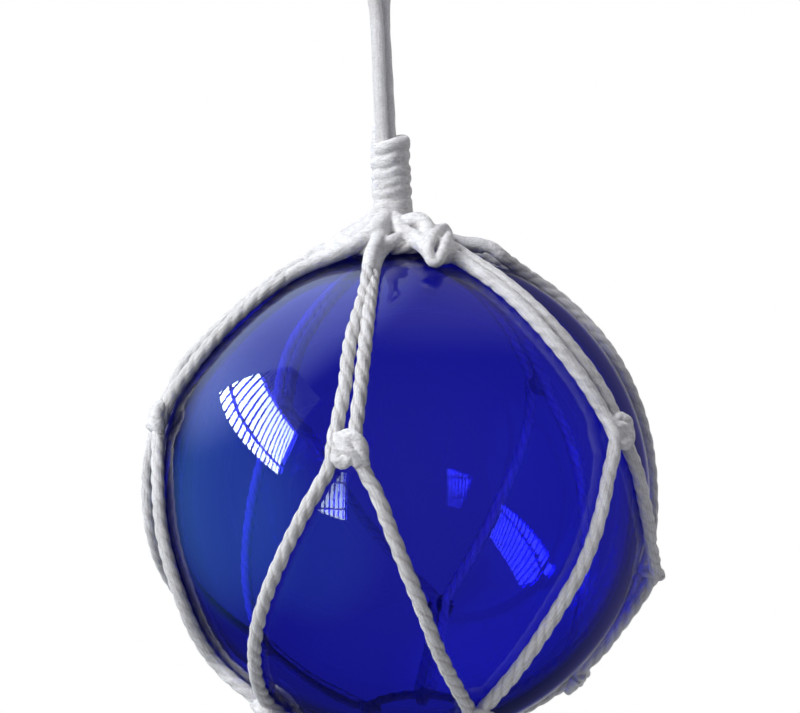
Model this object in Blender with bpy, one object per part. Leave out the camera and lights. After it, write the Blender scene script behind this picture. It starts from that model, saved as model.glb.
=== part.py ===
"""Glass float ball in a knotted cord net, hung by a loop of the same cord.

Metres, +Z up. The origin is the inside of the hanging loop's top, where a hook
carries it. Azimuth 0 on the ball faces -Y and grows towards +X.
"""

import math

import bmesh
import bpy
from mathutils import Vector

BALL_DIAMETER = 0.2032
CORD = 0.0052
GAP = 0.0003
HANG = 0.250  # from the hook down to the ball's centre

BALL_RADIUS = BALL_DIAMETER / 2
CENTRE = Vector((0, 0, -HANG))
CHORD_ROOM = 0.0007  # a straight step of a cord dips this much towards the glass
NET_RADIUS = BALL_RADIUS + CORD / 2 + GAP + CHORD_ROOM
STEP = 0.024  # between the points of a cord on the ball
KNOT_WIDTH = 0.95 * CORD  # from a knot's middle to its turns' centreline
KNOT_DEPTH = 0.75 * CORD
KNOT_HEIGHT = 1.35 * CORD
KNOT_LIFT = 0.45 * CORD
KNOT_SHIFT = 1.3  # degrees of azimuth from a knot's middle to each strand through it
TAIL_SPREAD = 6.0  # the same at the ring under the ball, where a tail's strands end
TURN_SWEEP = 1.16  # of half a circle, so that a turn's ends sink into the knot

RING_RADIUS = 0.215 * BALL_RADIUS
RING_HEIGHT = math.sqrt(NET_RADIUS**2 - RING_RADIUS**2)  # the rings lie on the ball

NECK_RADIUS = 0.0080
NECK_BOTTOM = 1.135 * BALL_RADIUS
NECK_LENGTH = 6 * CORD
NECK_TURNS = 6
CORE_WIDTH = 0.9  # of the ring's and the neck's, where packed cord fills the crown
TURN_DEPTH = 0.0012  # from a turn's crest to the groove beside it
TOP_KNOT_BULGE = 0.0012
FLAT_ANGLE = math.radians(1.0)  # faces this near to flat become one
SOCKET = 0.010  # how deep the loop's legs go into the neck

LOOP_ANGLE = math.radians(58)  # the plane of the loop, turned from +X
LOOP_BEND = 2.6 * CORD  # to the cord's centreline
LEG_SPREAD = CORD / 2 + GAP

# Knots on the ball, as (azimuth, latitude) in degrees.
UPPER_KNOTS = {
    "left": (-84, 22),
    "front": (-11, 20),
    "right": (54, 17),
    "back_right": (137, 19),
    "back_left": (-145, 16),
}
LOWER_KNOTS = {
    "front_left": (-48, -44),
    "front_right": (17, -43),
    "right": (82, -50),
    "back": (168, -45),
    "back_left": (-110, -45),
}
SIDE_KNOT = (82, -19)

# Each strand of a pair, from the neck to its upper knot and on to its lower knot, as the
# (azimuth, latitude) places that it passes between them. A third number lifts it off the
# ball by that many cord diameters.
PAIRS = {
    "left": [
        (
            [(-86, 84, 1.4), (-92, 77, 0.4), (-74, 68), (-69, 53), (-78, 40)],
            [(-81, 5, 0.3), (-84, -10), (-99, -31)],
            "back_left",
        ),
        ([(-42, 83, 1.5), (-48, 76, 0.4), (-61, 66), (-68, 46)], [(-66, 5), (-61, -12), (-60, -31)], "front_left"),
    ],
    "front": [
        ([(-14, 84, 1.4), (-12, 75, 0.5), (-12, 60), (-12, 40)], [(-21, 5), (-31, -12), (-41, -31)], "front_left"),
        ([(18, 83, 1.3), (-1, 78, 0.4), (-8, 62), (-9, 40)], [(-3, 5), (3, -12), (10, -31)], "front_right"),
    ],
    "right": [
        ([(45, 82, 1.5), (24, 73, 0.7), (36, 66), (46, 43)], [(45, 4), (36, -11), (27, -27)], "front_right"),
        (
            [(58, 80, 1.2), (50, 72, 0.5), (52, 55)],
            [(61, 5), (70, -9), (78, -18.5, 0.85), (78, -33)],
            "right",
        ),
    ],
    "back_right": [
        ([(121, 84, 1.4), (131, 76, 0.3), (134, 58)], [(128, 3), (117, -24), (101, -40)], "right"),
        ([(152, 84, 1.4), (143, 76, 0.3), (140, 58)], [(144, 3), (152, -15), (160, -32)], "back"),
    ],
    "back_left": [
        ([(-167, 84, 1.4), (-158, 76, 0.3), (-153, 58)], [(-157, 2), (-167, -17), (-180, -34)], "back"),
        ([(-137, 84, 1.4), (-146, 76, 0.3), (-147, 58)], [(-139, 2), (-130, -17), (-120, -32)], "back_left"),
    ],
}
SIDE_CORD = [(86, 84, 1.4), (90, 76, 0.5), (98, 62), (98, 42), (94, 20), (89, -5), SIDE_KNOT, (80, -32)]

# The turns that hold the right pair down. The higher one leans over the ring.
CROWN_TURNS = [
    [(24, 69, 0.7), (28, 74, 1.2), (40, 77, 1.3), (31, 71, 1.2), (29, 66, 0.4)],
    [(30, 66, 0.8), (41, 72, 1.3), (56, 77, 1.4), (75, 78, 1.3), (90, 77, 0.6)],
]
CROWN_HITCHES = (-50, -92, 137, -152)  # azimuths of the turns around the crown ring


def clear_scene():
    for thing in list(bpy.data.objects):
        bpy.data.objects.remove(thing, do_unlink=True)


def principled(name, color, roughness, transmission=0.0):
    material = bpy.data.materials.new(name)
    material.use_nodes = True
    shader = material.node_tree.nodes["Principled BSDF"]
    shader.inputs["Base Color"].default_value = (*color, 1.0)
    shader.inputs["Roughness"].default_value = roughness
    shader.inputs["Transmission Weight"].default_value = transmission
    return material


def add_object(name, data, material=None):
    thing = bpy.data.objects.new(name, data)
    bpy.context.scene.collection.objects.link(thing)
    if material is not None:
        data.materials.append(material)
    return thing


def on_ball(azimuth, latitude, radius=NET_RADIUS):
    """The point over the ball at that azimuth and latitude, in degrees."""
    a, l = math.radians(azimuth), math.radians(latitude)
    out = Vector((math.cos(l) * math.sin(a), -math.cos(l) * math.cos(a), math.sin(l)))
    return CENTRE + radius * out


def lifted(azimuth, latitude, lift=0.0):
    """The same for a cord's middle, that many cord diameters off the ball."""
    return on_ball(azimuth, latitude, NET_RADIUS + lift * CORD)


def around(azimuth, radius, height):
    """The point at that distance from the vertical axis and height over the centre."""
    a = math.radians(azimuth)
    return CENTRE + Vector((radius * math.sin(a), -radius * math.cos(a), height))


def curve_through(points, step):
    """A smooth open line through the points, sampled at most step apart."""
    ends = [2 * points[0] - points[1]] + list(points) + [2 * points[-1] - points[-2]]
    line = [points[0].copy()]
    for before, start, end, after in zip(ends, ends[1:], ends[2:], ends[3:]):
        count = math.ceil((end - start).length / step)
        for i in range(1, count + 1):
            t = i / count
            line.append(
                0.5
                * (
                    2 * start
                    + (end - before) * t
                    + (2 * before - 5 * start + 4 * end - after) * t**2
                    + (3 * start - before - 3 * end + after) * t**3
                )
            )
    return line


def taut_over_ball(points, step=STEP):
    """The same, pulled in to the ball: each stretch keeps the reach of its two ends."""
    line = [points[0].copy()]
    rays = [p - CENTRE for p in points]
    for i, (start, end) in enumerate(zip(rays, rays[1:])):
        before = rays[i - 1] if i else 2 * start - end
        after = rays[i + 2] if i + 2 < len(rays) else 2 * end - start
        stretch = curve_through([before, start, end, after], step)
        first = math.ceil((start - before).length / step)
        count = math.ceil((end - start).length / step)
        for k in range(1, count + 1):
            reach = start.length + (end.length - start.length) * k / count
            line.append(CENTRE + stretch[first + k].normalized() * reach)
    return line


def cord_curve(name, routes, radius, resolution):
    """A curve object with one tube for each (points, closed) route."""
    curve = bpy.data.curves.new(name, "CURVE")
    curve.dimensions = "3D"
    curve.bevel_depth = radius
    curve.bevel_resolution = resolution
    curve.use_fill_caps = True
    for points, closed in routes:
        spline = curve.splines.new("POLY")
        spline.points.add(len(points) - 1)
        spline.use_cyclic_u = closed
        for point, place in zip(spline.points, points):
            point.co = (*place, 1.0)
    return add_object(name, curve)


def weld_caps(mesh):
    """Joins a tube's filled caps to its wall."""
    shape = bmesh.new()
    shape.from_mesh(mesh)
    bmesh.ops.remove_doubles(shape, verts=shape.verts, dist=1e-6)
    bmesh.ops.recalc_face_normals(shape, faces=shape.faces)
    shape.to_mesh(mesh)
    shape.free()


def cord_mesh(name, routes, radius, resolution=1):
    """The same tubes as one mesh object."""
    source = cord_curve(name + "_curve", routes, radius, resolution)
    bpy.context.view_layer.update()
    mesh = bpy.data.meshes.new_from_object(source)
    weld_caps(mesh)
    curve = source.data
    bpy.data.objects.remove(source, do_unlink=True)
    bpy.data.curves.remove(curve)
    mesh.name = name
    thing = add_object(name, mesh)
    mesh.shade_smooth()
    return thing


def ring_route(height, count=20):
    step = 360 / count
    return [around(i * step, RING_RADIUS, height) for i in range(count)], True


def hitch_turn(azimuth, height, count=6):
    """A turn of cord around a ring, as a closed route that stays off the ball."""
    route = []
    for i in range(count):
        t = math.tau * (i + 0.3) / count
        ray = around(azimuth, RING_RADIUS + CORD * math.cos(t), height + CORD * math.sin(t)) - CENTRE
        route.append(CENTRE + ray * max(1.0, NET_RADIUS / ray.length))
    return route, True


def knot_frame(azimuth, latitude):
    """A knot's middle, and its sideways, upward and outward directions."""
    out = (on_ball(azimuth, latitude) - CENTRE).normalized()
    side = Vector((0, 0, 1)).cross(out).normalized()
    return CENTRE + out * (NET_RADIUS + KNOT_LIFT), side, out.cross(side), out


def knot_turn(azimuth, latitude, tilt, count=6):
    """A turn of cord over the strands in a knot, tilted from level."""
    middle, side, up, out = knot_frame(azimuth, latitude)
    along = side * math.cos(tilt) + up * math.sin(tilt)
    across = up * math.cos(tilt) - side * math.sin(tilt)
    route = []
    for i in range(count):
        t = math.pi * (TURN_SWEEP * i / (count - 1) - (TURN_SWEEP - 1) / 2)
        place = along * math.cos(t) * KNOT_WIDTH + out * math.sin(t) * KNOT_DEPTH
        route.append(middle + place + across * CORD * tilt)
    return route, False


def knot_core(azimuth, latitude):
    """The packed cord inside a knot's turns."""
    middle, side, up, out = knot_frame(azimuth, latitude)
    shape = bmesh.new()
    bmesh.ops.create_uvsphere(shape, u_segments=6, v_segments=5, radius=1.0)
    for vertex in shape.verts:
        x, y, z = vertex.co
        place = middle - side * x * 1.15 * KNOT_WIDTH + up * z * KNOT_HEIGHT + out * y * KNOT_DEPTH
        reach = max((place - CENTRE).length, BALL_RADIUS + GAP + CHORD_ROOM)
        vertex.co = CENTRE + (place - CENTRE).normalized() * reach
    mesh = bpy.data.meshes.new("knot_core")
    shape.to_mesh(mesh)
    shape.free()
    mesh.shade_smooth()
    return add_object("knot_core", mesh)


def crown_core():
    """The packed cord between the neck and the crown ring."""
    shape = bmesh.new()
    low, high = BALL_RADIUS + 2 * GAP, NECK_BOTTOM + CORD
    bmesh.ops.create_cone(
        shape,
        cap_ends=True,
        segments=12,
        radius1=CORE_WIDTH * RING_RADIUS,
        radius2=CORE_WIDTH * NECK_RADIUS,
        depth=high - low,
    )
    bmesh.ops.translate(shape, verts=shape.verts, vec=CENTRE + Vector((0, 0, (low + high) / 2)))
    mesh = bpy.data.meshes.new("crown_core")
    shape.to_mesh(mesh)
    shape.free()
    mesh.shade_smooth()
    return add_object("crown_core", mesh)


def past_knot(knot, shift):
    """A strand's place in a knot, to one side of its middle."""
    azimuth, latitude = knot
    return azimuth + KNOT_SHIFT * shift, latitude


def tail(knot, shift):
    """From a lower knot down to a hitch on the ring under the ball."""
    azimuth, latitude = knot
    spread = TAIL_SPREAD * shift
    end = around(azimuth + spread, RING_RADIUS + CORD, -RING_HEIGHT)
    return [on_ball(azimuth + 0.4 * spread, -58), on_ball(azimuth + 0.7 * spread, -68), end]


def net_routes():
    """Every strand, knot and hitch of the net."""
    routes = []
    for side, strands in PAIRS.items():
        for shift, (upper, lower, end) in zip((-1, 1), strands):
            knot = LOWER_KNOTS[end]
            points = [lifted(*p) for p in upper + [past_knot(UPPER_KNOTS[side], shift)] + lower]
            points += [lifted(*past_knot(knot, -shift))] + tail(knot, -shift)
            routes.append((taut_over_ball(points), False))
    side_cord = [lifted(*p) for p in SIDE_CORD + [LOWER_KNOTS["right"]]]
    routes.append((taut_over_ball(side_cord), False))
    for places in CROWN_TURNS:
        points = [lifted(*p) for p in places]
        routes.append((curve_through(points, 2 * CORD), False))
    return routes + knot_routes() + hitch_routes()


def knot_routes():
    """The turns of every knot: two crossing ones in front, one on the others."""
    routes = []
    for name, place in UPPER_KNOTS.items():
        tilts = (0.5, -0.35) if name in ("left", "front", "right") else (0.3,)
        routes += [knot_turn(*place, tilt) for tilt in tilts]
    routes += [knot_turn(*place, 0.3) for place in LOWER_KNOTS.values()]
    routes.append(knot_turn(*SIDE_KNOT, -0.6))
    return routes


def hitch_routes():
    turns = [hitch_turn(azimuth, RING_HEIGHT) for azimuth in CROWN_HITCHES]
    return turns + [hitch_turn(azimuth, -RING_HEIGHT) for azimuth, _ in LOWER_KNOTS.values()]


def as_cutter(thing):
    thing.hide_render = True
    thing.display_type = "WIRE"
    return thing


def cut(thing, cutter):
    modifier = thing.modifiers.new("cut_" + cutter.name, "BOOLEAN")
    modifier.operation = "DIFFERENCE"
    modifier.solver = "MANIFOLD"
    modifier.object = as_cutter(cutter)


def join(thing, pieces):
    """Joins the closed pieces to the thing, wherever they touch."""
    group = bpy.data.collections.new(thing.name + "_pieces")
    bpy.context.scene.collection.children.link(group)
    for piece in pieces:
        group.objects.link(as_cutter(piece))
        bpy.context.scene.collection.objects.unlink(piece)
    modifier = thing.modifiers.new("join", "BOOLEAN")
    modifier.operation = "UNION"
    modifier.solver = "MANIFOLD"
    modifier.operand_type = "COLLECTION"
    modifier.collection = group


def islands(shape):
    """The shape's separate shells, as lists of faces."""
    left = set(shape.faces)
    found = []
    while left:
        island = [left.pop()]
        for face in island:
            for edge in face.edges:
                for other in edge.link_faces:
                    if other in left:
                        left.remove(other)
                        island.append(other)
        found.append(island)
    return found


def settle(thing):
    """Applies the modifiers and keeps the outer shell, so that no pocket stays inside."""
    graph = bpy.context.evaluated_depsgraph_get()
    shape = bmesh.new()
    shape.from_mesh(thing.evaluated_get(graph).to_mesh())
    thing.modifiers.clear()
    shells = sorted(islands(shape), key=len)
    for shell in shells[:-1]:
        bmesh.ops.delete(shape, geom=shell, context="FACES")
    bmesh.ops.dissolve_limit(
        shape, angle_limit=FLAT_ANGLE, verts=shape.verts, edges=shape.edges
    )
    shape.to_mesh(thing.data)
    shape.free()
    thing.data.shade_smooth()


def build_ball(glass):
    bpy.ops.mesh.primitive_uv_sphere_add(segments=32, ring_count=16, radius=BALL_RADIUS, location=CENTRE)
    ball = bpy.context.object
    ball.name = "glass_ball"
    ball.data.materials.append(glass)
    ball.data.shade_smooth()
    return ball


def build_rings(cotton):
    for name, height in (("crown_ring", RING_HEIGHT), ("bottom_ring", -RING_HEIGHT)):
        ring = cord_mesh(name, [ring_route(height)], CORD / 2)
        ring.data.materials.append(cotton)


def build_net(cotton):
    first, *others = net_routes()
    net = cord_mesh("net", [first], CORD / 2)
    net.data.materials.append(cotton)
    pieces = [cord_mesh(f"net_piece_{i}", [route], CORD / 2) for i, route in enumerate(others)]
    pieces += [knot_core(*place) for place in [*UPPER_KNOTS.values(), *LOWER_KNOTS.values(), SIDE_KNOT]]
    pieces.append(crown_core())
    join(net, pieces)
    tunnels = [ring_route(height) for height in (RING_HEIGHT, -RING_HEIGHT)]
    cut(net, cord_mesh("ring_tunnels", tunnels, CORD / 2 + GAP))
    bpy.ops.mesh.primitive_cylinder_add(
        vertices=24,
        radius=2 * NECK_RADIUS,
        depth=NECK_LENGTH,
        location=CENTRE + Vector((0, 0, NECK_BOTTOM - GAP + NECK_LENGTH / 2)),
    )
    room = bpy.context.object
    room.name = "neck_room"
    cut(net, room)
    settle(net)
    return net


def neck_radius_at(angle, height):
    """The wrapped neck's radius: one groove beside each slanting turn."""
    turn = NECK_TURNS * height / NECK_LENGTH - angle / math.tau
    crest = abs(math.sin(math.pi * turn))
    near_top = math.exp(-(((height / NECK_LENGTH - 0.88) / 0.09) ** 2))
    end = min(height, NECK_LENGTH - height) / (0.6 * CORD)
    rounding = math.sqrt(max(0.0, 1 - (1 - min(end, 1.0)) ** 2))
    return (NECK_RADIUS - TURN_DEPTH * (1 - crest) + TOP_KNOT_BULGE * near_top) * (0.72 + 0.28 * rounding)


def build_neck(cotton, sides=12, rows=19):
    vertices = []
    for j in range(rows):
        height = NECK_LENGTH * j / (rows - 1)
        for i in range(sides):
            angle = math.tau * i / sides
            radius = neck_radius_at(angle, height)
            place = Vector((radius * math.cos(angle), radius * math.sin(angle), NECK_BOTTOM + height))
            vertices.append(CENTRE + place)
    faces = [tuple(reversed(range(sides)))]
    for j in range(rows - 1):
        for i in range(sides):
            k = (i + 1) % sides
            faces.append((j * sides + i, j * sides + k, (j + 1) * sides + k, (j + 1) * sides + i))
    faces.append(tuple(range((rows - 1) * sides, rows * sides)))
    mesh = bpy.data.meshes.new("neck_whipping")
    mesh.from_pydata(vertices, [], faces)
    mesh.shade_smooth()
    neck = add_object("neck_whipping", mesh, cotton)
    cut(neck, cord_mesh("leg_sockets", [(loop_route(), False)], CORD / 2 + 2 * GAP, resolution=2))
    return neck


def loop_route():
    """The hanging cord: up one leg, around the eye over the hook and down the other."""
    across = Vector((math.cos(LOOP_ANGLE), math.sin(LOOP_ANGLE), 0))
    top = -CORD / 2 + CORD  # the cord's centreline over the hook
    foot = -HANG + NECK_BOTTOM + NECK_LENGTH - SOCKET
    narrow = top - 4.2 * LOOP_BEND
    half = [
        (LEG_SPREAD, foot),
        (LEG_SPREAD, foot + 0.5 * (narrow - foot)),
        (LEG_SPREAD, narrow),
        (0.72 * LOOP_BEND, top - 2.4 * LOOP_BEND),
        (LOOP_BEND, top - LOOP_BEND),
        (0.72 * LOOP_BEND, top - 0.28 * LOOP_BEND),
    ]
    points = [-across * x + Vector((0, 0, z)) for x, z in half]
    points.append(Vector((0, 0, top)))
    points += [across * x + Vector((0, 0, z)) for x, z in reversed(half)]
    return curve_through(points, 2 * CORD)


def build_loop(cotton):
    loop = cord_curve("hanging_loop", [(loop_route(), False)], CORD / 2, 2)
    loop.data.materials.append(cotton)
    return loop


clear_scene()
blue_glass = principled("blue_glass", (0.02, 0.03, 0.42), 0.02, 1.0)
white_cotton = principled("white_cotton", (0.78, 0.76, 0.72), 0.85)
build_ball(blue_glass)
build_rings(white_cotton)
build_net(white_cotton)
build_neck(white_cotton)
build_loop(white_cotton)
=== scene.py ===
"""Glass float ball in a knotted cord net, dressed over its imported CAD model.

Metres, in the CAD frame: +Z up, the origin where a hook carries the hanging loop.
Azimuth 0 on the ball faces -Y, where the camera is, and grows towards +X.
"""

import math

import bmesh
import bpy
import numpy as np
from mathutils import Matrix, Vector


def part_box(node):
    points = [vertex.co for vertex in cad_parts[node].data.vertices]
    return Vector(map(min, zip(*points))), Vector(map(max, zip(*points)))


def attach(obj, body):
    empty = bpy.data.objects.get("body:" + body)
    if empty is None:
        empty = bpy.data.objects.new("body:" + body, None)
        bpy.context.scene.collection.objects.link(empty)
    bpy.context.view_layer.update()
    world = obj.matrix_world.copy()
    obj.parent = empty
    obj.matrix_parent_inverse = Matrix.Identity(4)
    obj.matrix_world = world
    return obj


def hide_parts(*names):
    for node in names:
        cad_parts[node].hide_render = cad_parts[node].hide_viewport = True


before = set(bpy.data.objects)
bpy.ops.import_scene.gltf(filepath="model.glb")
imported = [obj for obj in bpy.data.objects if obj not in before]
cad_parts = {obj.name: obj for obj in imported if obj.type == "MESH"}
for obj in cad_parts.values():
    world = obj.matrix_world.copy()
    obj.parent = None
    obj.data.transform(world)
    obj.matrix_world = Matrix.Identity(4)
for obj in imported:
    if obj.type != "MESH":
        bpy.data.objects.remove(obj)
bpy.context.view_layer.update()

BALL_LOW, BALL_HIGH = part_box("glass_ball")
CENTRE = (BALL_LOW + BALL_HIGH) / 2
BALL_RADIUS = (BALL_HIGH.z - BALL_LOW.z) / 2
WALL = 0.053 * BALL_RADIUS  # thickness of the glass
SHELL_COLUMNS, SHELL_ROWS = 160, 80  # faces around and down each of its two surfaces

CORD = 0.0052  # thickness of every cord
GAP = 0.0003  # between a leg of the hanging cord and the axis
NET_RADIUS = BALL_RADIUS + 0.48 * CORD  # to a cord's middle; it flattens a little on the glass

TOUCH = 0.00005  # room left between a cord and the glass it lies on
ROUTE_STEP = 0.003  # between a route's points
ROPE_STEP = 0.0012  # between the rings of a cord's mesh
ROPE_SIDES = 24
ODD_DIRECTION = (0.31, 0.17, 0.93)  # one along which no cord starts
LAY = 0.021  # length of cord in which its three strands go once around
STRAND = 0.345 * CORD  # radius of one strand
STRAND_AT = CORD / 2 - STRAND  # from the cord's middle to a strand's
# From the cord's middle to the deepest place between two strands.
GROOVE = STRAND_AT / 2 + math.sqrt(STRAND**2 - 0.75 * STRAND_AT**2)
WORN = 0.50  # how far the strands' edges are rounded off
FULL = 1.04  # the cotton swells a little beyond the nominal cord
# A cord's slow wander in thickness and twist, as waves of (length, share).
WANDER_WAVES = [(0.013, 0.4), (0.0071, 0.3), (0.031, 0.3)]
WANDER_THICKNESS = 0.03
WANDER_TWIST = 0.35
WANDER_SEED = 7.3  # starts each cord's waves somewhere else
SAME_PLACE = 1e-7  # points of a route that are nearer than this are one

# The rings at the crown and the bottom; their heights are from the ball's centre.
RING_RADIUS = 0.215 * BALL_RADIUS
RING_REACH = BALL_RADIUS + 0.55 * CORD  # from the ball's centre to a ring's cord
RING_HEIGHT = math.sqrt(RING_REACH**2 - RING_RADIUS**2)

# The neck, whose cord is wound from its top down in turns that slant less and less.
NECK_RADIUS = 0.0082
NECK_BOTTOM = 1.135 * BALL_RADIUS  # over the ball's centre
NECK_LENGTH = 6 * CORD
NECK_TOP = NECK_BOTTOM + NECK_LENGTH
NECK_TURNS = 8
TURN_POINTS = 40
NECK_PITCH = 0.82 * CORD  # from one turn to the next
FIRST_TURN = 1.35 * CORD  # below the neck's top
NECK_SLANT = math.radians(27)
SLANT_LOST = 0.8  # by the last turn, as a share
LEAST_SLANT = 0.3  # as a share
PITCH_CHANGE = 0.13 * CORD  # the turns lie unevenly, by this much
PITCH_WAVE = 2.3  # radians of that change in a turn
PRESSED = 0.25  # share of what stands out of the wrapping that is left
NECK_SHIFT = 0.0014  # the whole wrapping sits a little to the right of the axis
# The thick turn on top, as (azimuth, cord diameters below the neck's top).
TOP_TURN = [(-55, 1.15), (-20, 0.95), (20, 0.75), (60, 0.65), (100, 0.6), (150, 0.6)]
TOP_TURN += [(200, 0.8), (250, 1.0)]
# The cord's end beside the hanging cord, in cord diameters over the neck's top.
NECK_ENTRY = [-1.8, -0.9, 0.2, 1.0]

# The hanging loop.
SOCKET = 0.010  # length of the hanging cord inside the neck
LOOP_ANGLE = math.radians(58)  # between the loop's plane and the picture's
LOOP_BEND = 2.6 * CORD  # radius of the eye over the hook
LEG_SPREAD = CORD / 2 + GAP  # from the axis to a leg's middle

UPPER_KNOTS = {
    "left": (-77.5, 22),
    "front": (-11, 20),
    "right": (54, 17),
    "back_right": (137, 19),
    "back_left": (-145, 16),
}
LOWER_KNOTS = {
    "front_left": (-48, -44),
    "front_right": (17, -43),
    "right": (82, -50),
    "back": (168, -45),
    "back_left": (-110, -45),
}

# Each strand of a pair, from the crown to its upper knot and on to its lower knot, as the
# (azimuth, latitude) places that it passes between them. A third number lifts the strand
# off the ball by that many cord diameters.
PAIRS = {
    "left": [
        ([
            (-90, 79.5, 0.6), (-95, 76.5, 0.3), (-84, 73, 0.2), (-74, 68), (-69.5, 61),
            (-68.5, 54), (-71, 46), (-76, 40), (-81, 34, 0.1),
        ], [
            (-79.5, 14, 0.2), (-80, 7, 0.2), (-80, 0, 0.1), (-82, -8), (-90, -20), (-99, -32),
        ], "back_left"),
        ([
            (-42, 78, 0.8), (-50, 75, 0.2), (-59, 71.5), (-61.5, 65), (-63.5, 56),
            (-66, 46), (-70, 36),
        ], [
            (-70, 13), (-66.5, 7), (-64.5, 0), (-62, -8), (-60.5, -16), (-61, -24), (-60, -33),
        ], "front_left"),
    ],
    "front": [
        ([
            (6, 88.5, 1.6), (-5, 85, 1.2), (-12.5, 80.5, 0.85), (-11.5, 73.5, 0.85),
            (-12.5, 70, 0.6), (-11.5, 65, 0.4), (-11, 56), (-12.5, 43), (-12.5, 33),
        ], [
            (-16.3, 14), (-21.3, 5.5), (-26.4, -3.5), (-32.5, -14.5), (-37.9, -25), (-43, -35),
        ], "front_left"),
        ([
            (27, 71.5, 0.3), (25.5, 75.5, 0.55), (17.5, 80, 0.65), (1, 78, 0.55),
            (-7, 75.5, 0.3), (-10, 72), (-9.5, 66), (-8.5, 56), (-8.3, 44), (-8.7, 33),
        ], [
            (-5.3, 12), (-3, 5.5), (-0.5, -2), (2.8, -12), (6.3, -22.8), (11, -33),
        ], "front_right"),
    ],
    "right": [
        ([
            (24.5, 71.5, 0.5), (29, 69, 0.5), (40, 69.5, 0.2), (42.5, 64), (44.5, 54),
            (46.8, 40), (49.8, 29),
        ], [
            (47.4, 9), (43.5, 2), (38.5, -7), (32.5, -16), (26.3, -27),
        ], "front_right"),
        ([
            (29, 72.5, 0.9), (36, 71, 0.8), (52, 72, 0.2), (51, 67), (50, 58),
            (50.8, 47.5), (53, 36), (55.5, 26),
        ], [
            (60, 8.5), (63.5, -1), (71, -10.5), (78, -18.5, 0.85), (79, -24, 0.5), (77, -33),
        ], "right"),
    ],
    "back_right": [
        ([
            (131, 75, 0.3), (132, 66), (134, 50), (134, 34),
        ], [
            (128, 3), (117, -24), (101, -40),
        ], "right"),
        ([
            (143, 75, 0.3), (140, 66), (140, 50), (139, 34),
        ], [
            (144, 3), (152, -15), (160, -32),
        ], "back"),
    ],
    "back_left": [
        ([
            (-158, 75, 0.3), (-156, 66), (-152, 50), (-148, 34),
        ], [
            (-157, 2), (-167, -17), (-180, -34),
        ], "back"),
        ([
            (-146, 75, 0.3), (-148, 66), (-146, 50), (-143, 34),
        ], [
            (-139, 2), (-130, -17), (-120, -32),
        ], "back_left"),
    ],
}
# The right side's single cord, which bends down by the crown, and its second start under
# the first.
SIDE_CORD = [
    (85, 78, 0.4), (97, 76, 0.15), (93.5, 70.5, 0.6), (92, 67, 0.7), (92, 64.5, 0.3), (101, 57),
    (99.5, 44), (95.5, 34), (93.5, 22), (92.5, 10), (90.5, -3), (86.5, -12), (82, -19), (80, -32),
    LOWER_KNOTS["right"],
]
SIDE_UNDER = [(138, 73, 0.2), (131, 70), (122, 68), (114, 66), (109, 62.5), (103, 58)]
SIDE_KNOT = (80, -19, 0.4)  # the turn of cord around the side cord
BELOW_SIDE_KNOT = (79, -24)

# The places in a knot, as (sideways, up, outward) in cord diameters from its middle: of
# the two strands through it, and of the turns around them.
LEFT_THROUGH = [(-0.80, 1.6, 0.0), (-0.92, 0.7, 0.3), (-0.95, -0.2, 0.5), (-1.15, -1.1, 0.15)]
RIGHT_THROUGH = [(0.55, 1.7, 0.0), (0.5, 0.8, 0.1), (0.7, 0.0, 0.2), (0.95, -1.0, 0.1)]
KNOT_TURNS = [
    [
        (-0.5, 0.75, 0.1), (0.05, 0.95, 0.5), (0.6, 0.9, 0.65), (1.0, 0.4, 0.6),
        (1.1, -0.3, 0.4), (1.1, -1.2, 0.0),
    ],
    [(-0.8, 0.9, 0.2), (-0.45, 0.5, 0.5), (0.0, 0.2, 0.75), (0.5, -0.3, 0.7), (0.9, -0.9, 0.3)],
    [(-0.8, 0.3, 0.3), (-0.65, -0.5, 0.55), (-0.3, -0.95, 0.6), (0.15, -0.8, 0.6), (0.3, -0.2, 0.5)],
]
KNOT_HEART = (0.8, 1.0, 0.5)  # half the size of its packed middle, the same way
TAIL_SPREAD = 6.0  # degrees between the strands of a lower knot and its middle, at the ring

# Cords between the neck and the net, as (thickness, taper, places), with the places as in PAIRS.
CROWN_CORDS = {
    "knob": (1.25, 0.88, [
        (22, 85, 1.45), (35, 82.6, 1.8), (41.5, 80.6, 1.9), (39.7, 78, 1.5), (32.5, 75.5, 0.95),
        (24, 72, 0.7), (23.5, 70, 0.4), (30, 69, 0.2), (40, 70, 0.1),
    ]),
    "arch": (1.3, 0.88, [(15, 85, 1.6), (18.6, 81, 1.0), (25.4, 77.6, 0.8), (24, 72, 0.8)]),
    "middle": (1.2, 0.88, [(26, 86, 1.6), (39, 83.5, 1.3), (44, 80, 0.9), (45, 76, 0.6)]),
    "left_top": (1.75, 0.70, [
        (-40, 86.6, 2.0), (-49, 84.5, 1.5), (-56, 81.5, 1.1), (-58, 78, 0.75),
        (-72, 76, 0.15), (-74, 70, 0.1),
    ]),
    "left_middle": (1.7, 0.70, [
        (-35, 85, 1.6), (-40, 82, 1.15), (-46, 78.5, 0.75), (-56, 75, 0.25), (-60, 70, 0.1),
    ]),
    "left_low": (1.5, 0.65, [
        (-16, 81.5, 1.45), (-28, 79, 0.85), (-38, 76, 0.45), (-45, 73.5, 0.25),
        (-53, 71, 0.1), (-59, 67, 0.05), (-62, 63),
    ]),
    "left": (1.35, 0.80, [(-73, 86.5, 1.6), (-86, 82, 1.1), (-90, 79.5, 0.7), (-97, 76.5, 0.25)]),
    "side": (1.35, 0.80, [
        (92, 84, 1.4), (97, 80, 0.7), (103, 76.5, 0.35), (100, 73, 0.35), (94, 69, 0.5),
    ]),
    "back_right": (1.25, 0.88, [(136, 84, 1.6), (136, 79, 0.8), (136, 74, 0.2)]),
    "back_left": (1.25, 0.88, [(-152, 84, 1.6), (-152, 79, 0.8), (-152, 74, 0.2)]),
}
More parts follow.
